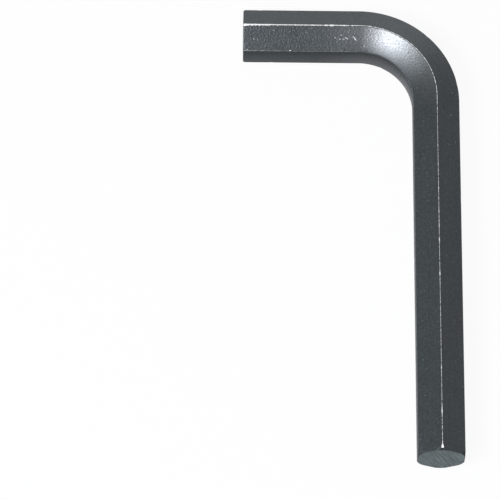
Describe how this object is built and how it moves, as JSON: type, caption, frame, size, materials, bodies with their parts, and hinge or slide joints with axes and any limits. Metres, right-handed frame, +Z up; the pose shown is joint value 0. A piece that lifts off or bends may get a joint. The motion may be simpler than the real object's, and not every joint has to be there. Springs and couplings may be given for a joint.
{
  "type": "hex key",
  "caption": "L-shaped hexagonal steel key with a rounded right-angle bend and chamfered tips, for turning hexagon socket screws.",
  "frame": {"origin": "middle of the bounding box, on the floor that the key lies on", "axes": "+Z up from the floor; the long arm runs along Y, with its tip towards -Y; the short arm runs along X at the +Y end, with its tip towards -X"},
  "size_m": [0.08, 0.177, 0.0195],
  "materials": {
    "blackened_steel": "black oxide on drawn steel, satin, worn to bright metal along the edges"
  },
  "bodies": {
    "root": {"hex_key": "blackened_steel"}
  },
  "joints": []
}
